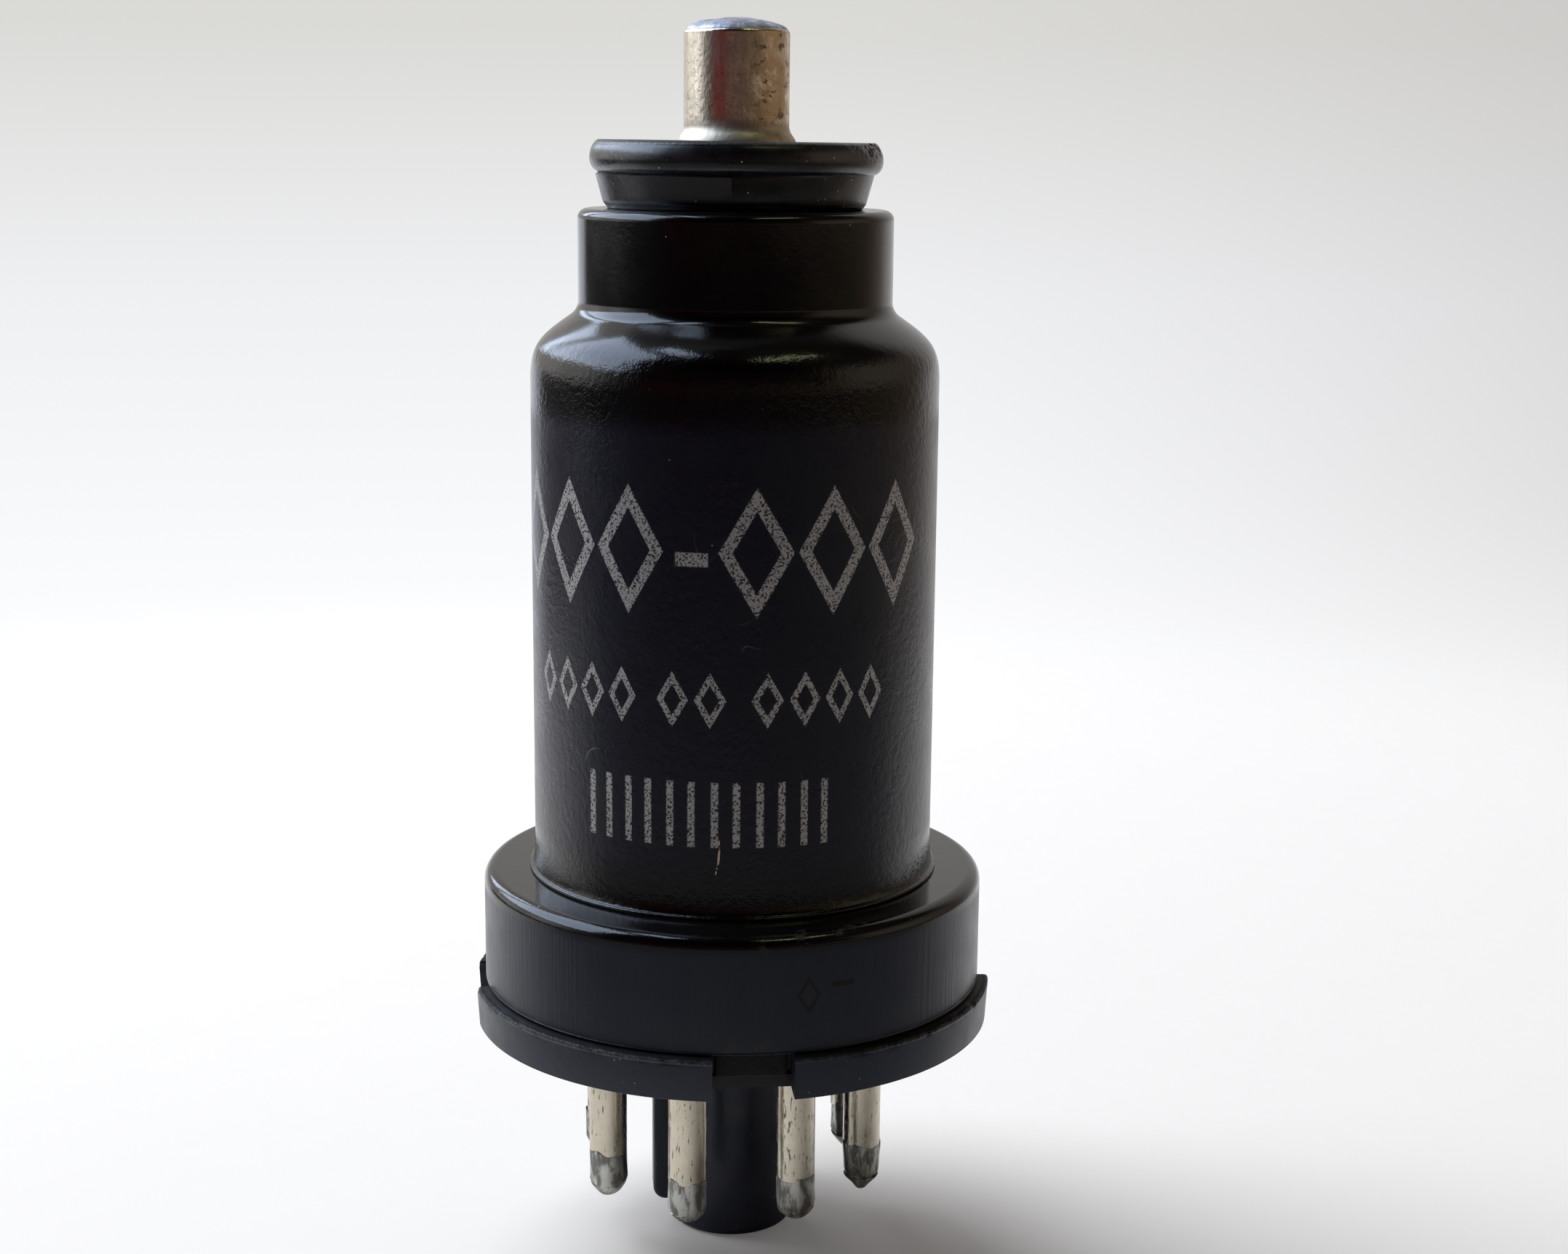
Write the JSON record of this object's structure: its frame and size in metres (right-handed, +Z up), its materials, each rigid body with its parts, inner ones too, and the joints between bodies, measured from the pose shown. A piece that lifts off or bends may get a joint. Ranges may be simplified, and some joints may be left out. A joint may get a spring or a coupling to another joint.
{
  "type": "vacuum tube",
  "caption": "Metal-shell vacuum tube: stepped black steel can on a round collar, hollow contact pins round a keyed plug, and a top grid cap on a moulded insulator.",
  "frame": {"origin": "centre of the flat end of the aligning plug, on which the tube stands", "axes": "+Z up through the grid cap, -X towards the aligning key"},
  "size_m": [0.0324, 0.0324, 0.0758],
  "materials": {
    "black_enamel": "baked black enamel on steel, glossy on neck, shoulder and collar top, satin on the body and skirt",
    "black_phenolic": "moulded black phenolic, semi-gloss with fine specks",
    "cap_nickel": "warm aged nickel plate with brown stains",
    "pin_plating": "worn warm-grey plating with fine pits",
    "solder": "dull grey solder",
    "nickel_wire": "plain nickel wire",
    "sealing_alloy": "oxidised sealing alloy",
    "bead_glass": "dark sealing glass",
    "exhaust_metal": "plain pinched exhaust tube"
  },
  "bodies": {
    "root": {"steel_shell": "black_enamel", "header_collar": "black_enamel", "wafer_base": "black_phenolic", "cap_insulator": "black_phenolic", "grid_cap": "cap_nickel", "cap_solder": "solder", "grid_lead_wire": "nickel_wire", "top_eyelet": "sealing_alloy", "top_seal_bead": "bead_glass", "exhaust_tube": "exhaust_metal", "shell_lead": "nickel_wire", "pin_1": "pin_plating", "pin_2": "pin_plating", "pin_3": "pin_plating", "pin_4": "pin_plating", "pin_5": "pin_plating", "pin_6": "pin_plating", "pin_7": "pin_plating", "pin_8": "pin_plating", "pin_solder_1": "solder", "pin_solder_2": "solder", "pin_solder_3": "solder", "pin_solder_4": "solder", "pin_solder_5": "solder", "pin_solder_6": "solder", "pin_solder_7": "solder", "pin_solder_8": "solder", "lead_wire_2": "nickel_wire", "lead_wire_3": "nickel_wire", "lead_wire_4": "nickel_wire", "lead_wire_5": "nickel_wire", "lead_wire_6": "nickel_wire", "lead_wire_7": "nickel_wire", "lead_wire_8": "nickel_wire", "eyelet_2": "sealing_alloy", "eyelet_3": "sealing_alloy", "eyelet_4": "sealing_alloy", "eyelet_5": "sealing_alloy", "eyelet_6": "sealing_alloy", "eyelet_7": "sealing_alloy", "eyelet_8": "sealing_alloy", "seal_bead_2": "bead_glass", "seal_bead_3": "bead_glass", "seal_bead_4": "bead_glass", "seal_bead_5": "bead_glass", "seal_bead_6": "bead_glass", "seal_bead_7": "bead_glass", "seal_bead_8": "bead_glass"}
  },
  "joints": []
}
